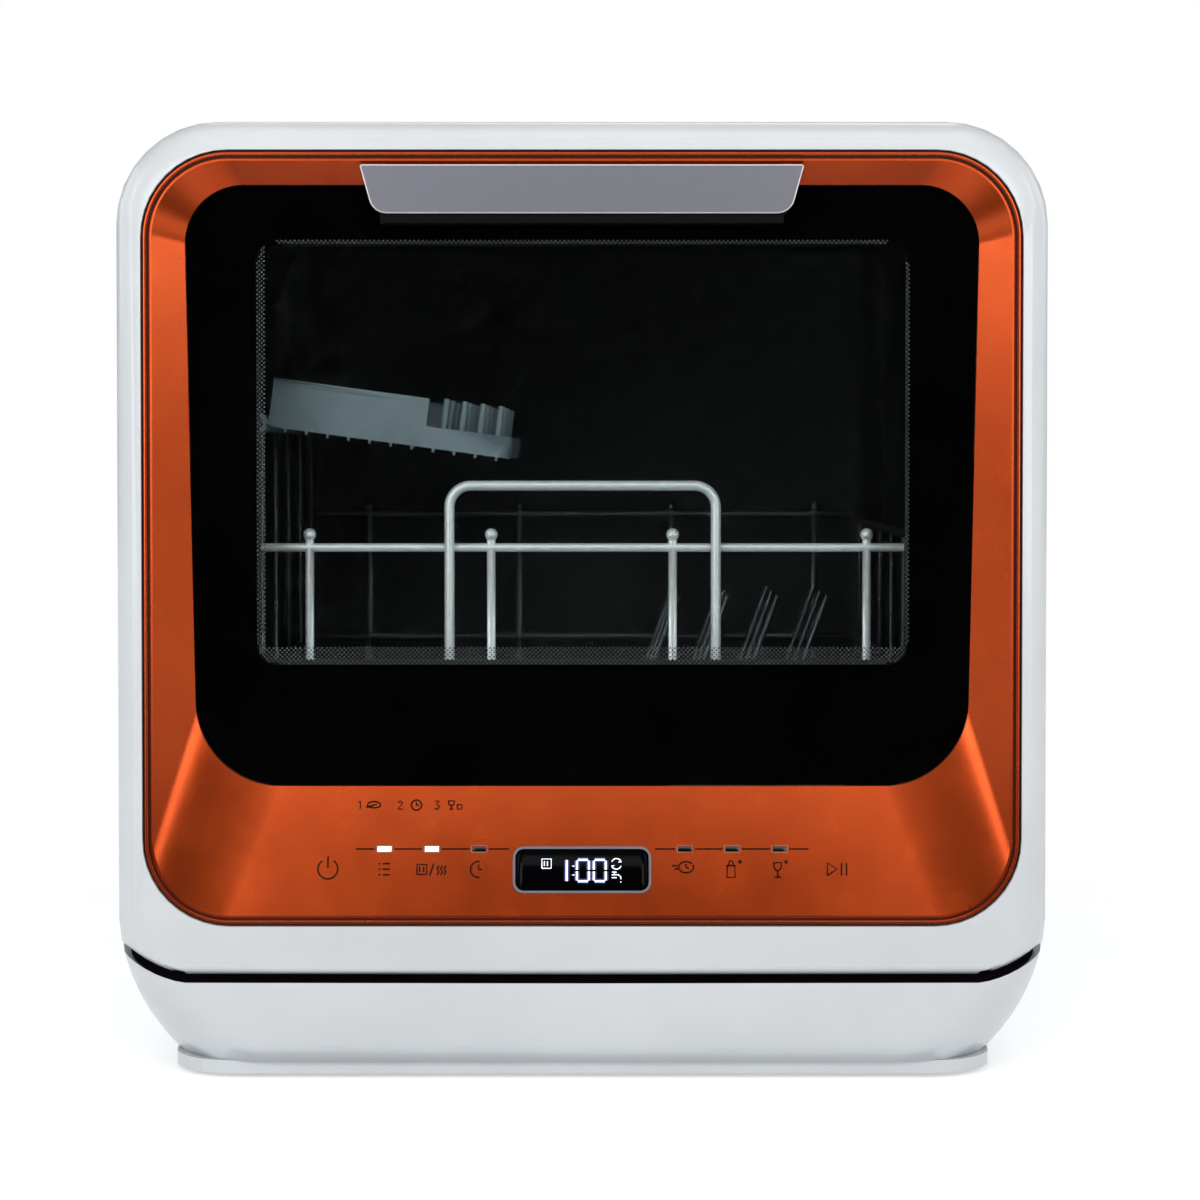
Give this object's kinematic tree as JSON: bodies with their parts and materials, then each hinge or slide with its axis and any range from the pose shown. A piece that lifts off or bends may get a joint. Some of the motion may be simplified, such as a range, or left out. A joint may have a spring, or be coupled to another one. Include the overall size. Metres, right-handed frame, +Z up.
{
  "type": "countertop dishwasher",
  "caption": "Countertop dishwasher with a drop-down glazed door, a wire rack on rollers with a folding cutlery tray, a spray arm and a built-in water tank.",
  "frame": {"origin": "middle of the footprint on the worktop, under the centre of the casing", "axes": "+X to the right seen from the front, +Y to the back, +Z up; the door is on the -Y side"},
  "size_m": [0.42, 0.435, 0.435],
  "materials": {
    "white_casing": "satin white moulding",
    "orange_surround": "metallic orange lacquer",
    "black_glass": "black tempered glass",
    "clear_glass": "clear tempered glass",
    "stainless": "brushed stainless sheet",
    "wire": "bright wire",
    "satin_metal": "satin anodised",
    "tray_grey": "grey moulding",
    "black_rubber": "soft black",
    "black_plastic": "fine matt texture",
    "grey_plastic": "grey moulding",
    "display_window": "smoked display window",
    "light_window": "milky light window",
    "circuit": "green board",
    "tank_plastic": "milky white tank"
  },
  "bodies": {
    "cabinet": {"foot_pads": "black_rubber", "plinth": "grey_plastic", "base_tray": "white_casing", "cabinet_shell": "white_casing", "back_panel": "white_casing", "back_screws": "satin_metal", "screw_posts": "grey_plastic", "front_frame": "grey_plastic", "hinge_trough": "black_plastic", "hinge_arm_left": "satin_metal", "hinge_arm_right": "satin_metal", "tub": "stainless", "tub_gasket": "black_rubber", "coarse_filter": "stainless", "spray_hub": "grey_plastic", "roller_axles": "satin_metal", "latch_housing": "grey_plastic", "wash_pump": "grey_plastic", "drain_pump": "grey_plastic", "water_tank": "tank_plastic", "fill_collar": "white_casing", "fan_housing": "grey_plastic", "hose_ports": "grey_plastic", "cord_gland": "black_plastic"},
    "door": {"door_frame": "white_casing", "door_surround": "orange_surround", "door_glass": "black_glass", "handle_plate": "satin_metal", "handle_grip": "black_plastic", "display_frame": "satin_metal", "display_lens": "display_window", "indicator_lights": "light_window", "control_board": "circuit", "inner_door_panel": "stainless", "inner_glass": "clear_glass", "inner_glass_seal": "black_rubber", "hinge_knuckles": "grey_plastic", "hinge_pins": "satin_metal", "latch_striker": "satin_metal", "dispenser_body": "grey_plastic"},
    "rack": {"rack_floor": "wire", "rack_front": "wire", "rack_back": "wire", "rack_left": "wire", "rack_right": "wire", "rack_handle": "wire", "plate_tines": "wire"},
    "cutlery_tray": {"cutlery_tray": "tray_grey"},
    "spray_arm": {"spray_arm": "grey_plastic"},
    "fill_cover": {"fill_cover": "white_casing"},
    "dispenser_lid": {"dispenser_lid": "grey_plastic"},
    "latch_bolt": {"latch_bolt": "black_plastic"},
    "wash_impeller": {"wash_impeller": "grey_plastic"},
    "drain_impeller": {"drain_impeller": "grey_plastic"},
    "fan_wheel": {"fan_wheel": "black_plastic"},
    "filter_cup": {"filter_cup": "grey_plastic"},
    "roller_front_left": {"roller_front_left": "grey_plastic"},
    "roller_front_right": {"roller_front_right": "grey_plastic"},
    "roller_rear_left": {"roller_rear_left": "grey_plastic"},
    "roller_rear_right": {"roller_rear_right": "grey_plastic"}
  },
  "joints": [
    {"name": "door_hinge", "type": "hinge", "parent": "cabinet", "child": "door", "pos_m": [0, -0.2025, 0.075], "axis": [1, 0, 0], "range_deg": [0, 90]},
    {"name": "rack_slide", "type": "slide", "parent": "cabinet", "child": "rack", "axis": [0, -1, 0], "range_m": [0, 0.12]},
    {"name": "tray_fold", "type": "hinge", "parent": "rack", "child": "cutlery_tray", "pos_m": [-0.152, -0.06, 0.3], "axis": [0, -1, 0], "range_deg": [0, 45]},
    {"name": "spray_spin", "type": "hinge", "parent": "cabinet", "child": "spray_arm", "pos_m": [0, -0.01128, 0.126], "axis": [0, 0, 1], "continuous": true},
    {"name": "fill_cover_hinge", "type": "hinge", "parent": "cabinet", "child": "fill_cover", "pos_m": [0.11, 0.18204, 0.4332], "axis": [-1, 0, 0], "range_deg": [0, 100]},
    {"name": "dispenser_slide", "type": "slide", "parent": "door", "child": "dispenser_lid", "axis": [1, 0, 0], "range_m": [0, 0.034]},
    {"name": "latch_travel", "type": "slide", "parent": "cabinet", "child": "latch_bolt", "axis": [0, 0, 1], "range_m": [0, 0.002], "stiffness_N_per_m": 200, "springref_m": -0.002},
    {"name": "wash_spin", "type": "hinge", "parent": "cabinet", "child": "wash_impeller", "pos_m": [0.042, 0.04372, 0.048], "axis": [1, 0, 0], "continuous": true},
    {"name": "drain_spin", "type": "hinge", "parent": "cabinet", "child": "drain_impeller", "pos_m": [-0.108, -0.08328, 0.042], "axis": [1, 0, 0], "continuous": true},
    {"name": "fan_spin", "type": "hinge", "parent": "cabinet", "child": "fan_wheel", "pos_m": [-0.095, 0.04, 0.415], "axis": [0, 0, 1], "continuous": true},
    {"name": "filter_twist", "type": "hinge", "parent": "cabinet", "child": "filter_cup", "pos_m": [0, -0.08328, 0.1], "axis": [0, 0, 1], "range_deg": [0, 60]},
    {"name": "roller_front_left_spin", "type": "hinge", "parent": "cabinet", "child": "roller_front_left", "pos_m": [-0.1615, -0.1506, 0.16], "axis": [1, 0, 0], "continuous": true},
    {"name": "roller_front_right_spin", "type": "hinge", "parent": "cabinet", "child": "roller_front_right", "pos_m": [0.1615, -0.1506, 0.16], "axis": [1, 0, 0], "continuous": true},
    {"name": "roller_rear_left_spin", "type": "hinge", "parent": "cabinet", "child": "roller_rear_left", "pos_m": [-0.1615, -0.0846, 0.16], "axis": [1, 0, 0], "continuous": true},
    {"name": "roller_rear_right_spin", "type": "hinge", "parent": "cabinet", "child": "roller_rear_right", "pos_m": [0.1615, -0.0846, 0.16], "axis": [1, 0, 0], "continuous": true}
  ],
  "couplings": [
    {"joint": "rack_slide", "follows": "door_hinge", "m_per_rad": 0.076394}
  ]
}
